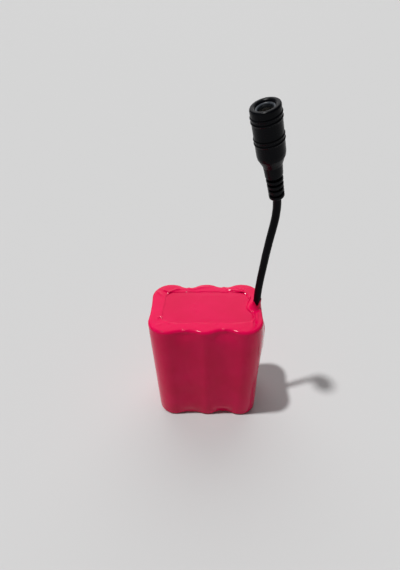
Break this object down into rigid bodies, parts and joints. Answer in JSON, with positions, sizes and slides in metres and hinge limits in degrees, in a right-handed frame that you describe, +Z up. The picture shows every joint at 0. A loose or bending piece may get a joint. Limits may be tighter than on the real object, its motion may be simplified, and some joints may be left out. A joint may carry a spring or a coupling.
{
  "type": "cylindrical-cell battery pack",
  "caption": "Shrink-sleeved block of cylindrical cells with a scalloped outline, an inner protection board, and a short lead that ends in a moulded DC jack.",
  "frame": {"origin": "middle of the face that the pack stands on, under the sleeve's bottom fold", "axes": "+Z up along the cells, from the standing face to the face that the lead leaves; +X along the row of three cells, towards the lead; +Y across the two rows, towards the back"},
  "size_m": [0.0603, 0.0372, 0.1584],
  "materials": {
    "film": "glossy crimson PVC shrink film",
    "end_board": "matt glass-epoxy or fish-paper board",
    "nickel": "satin nickel-plated strip",
    "black_nylon": "satin",
    "white_paper": "matt paper",
    "solder_mask": "glossy green solder mask",
    "chip_plastic": "matt moulded epoxy",
    "gold_pad": "gold-flashed copper",
    "amber_tape": "glossy polyimide tape",
    "hot_glue": "waxy hot melt glue",
    "red_pvc": "satin PVC insulation",
    "white_pvc": "satin PVC insulation",
    "yellow_pvc": "satin PVC insulation",
    "black_pvc": "satin PVC insulation",
    "lead_pvc": "satin black PVC jacket",
    "jack_pvc": "satin black moulded PVC",
    "insert_plastic": "satin dark moulded insulator",
    "plated_contact": "bright nickel plate",
    "cell_steel": "nickel-plated steel",
    "cell_wrap": "satin PVC cell wrap",
    "electrode_foil": "coated electrode foil, wound",
    "cap_steel": "nickel-plated steel"
  },
  "bodies": {
    "root": {"shrink_sleeve": "film", "top_end_cover": "film", "bottom_end_cover": "film", "top_end_board": "end_board", "bottom_end_board": "end_board", "nickel_b_plus": "nickel", "nickel_b1": "nickel", "nickel_b2": "nickel", "nickel_b_minus": "nickel", "cell_gaskets": "black_nylon", "cell_insulator_rings": "white_paper", "bms_board": "solder_mask", "bms_mosfets": "chip_plastic", "bms_chips": "chip_plastic", "bms_pads": "gold_pad", "board_tape": "amber_tape", "glue_beads": "hot_glue", "wire_b_plus": "red_pvc", "wire_b1": "white_pvc", "wire_b2": "yellow_pvc", "wire_b_minus": "black_pvc", "lead_inner_run": "lead_pvc", "lead_core_red": "red_pvc", "lead_core_black": "black_pvc", "free_lead": "lead_pvc", "jack_overmould": "jack_pvc", "jack_insert": "insert_plastic", "jack_sleeve_contact": "plated_contact", "jack_centre_pin": "plated_contact", "jack_lead_tail": "lead_pvc", "jack_core_red": "red_pvc", "jack_core_black": "black_pvc", "cell_can_1": "cell_steel", "cell_can_2": "cell_steel", "cell_can_3": "cell_steel", "cell_can_4": "cell_steel", "cell_can_5": "cell_steel", "cell_can_6": "cell_steel", "cell_wrap_1": "cell_wrap", "cell_wrap_2": "cell_wrap", "cell_wrap_3": "cell_wrap", "cell_wrap_4": "cell_wrap", "cell_wrap_5": "cell_wrap", "cell_wrap_6": "cell_wrap", "cell_roll_1": "electrode_foil", "cell_roll_2": "electrode_foil", "cell_roll_3": "electrode_foil", "cell_roll_4": "electrode_foil", "cell_roll_5": "electrode_foil", "cell_roll_6": "electrode_foil", "cell_cap_1": "cap_steel", "cell_cap_2": "cap_steel", "cell_cap_3": "cap_steel", "cell_cap_4": "cap_steel", "cell_cap_5": "cap_steel", "cell_cap_6": "cap_steel"}
  },
  "joints": []
}
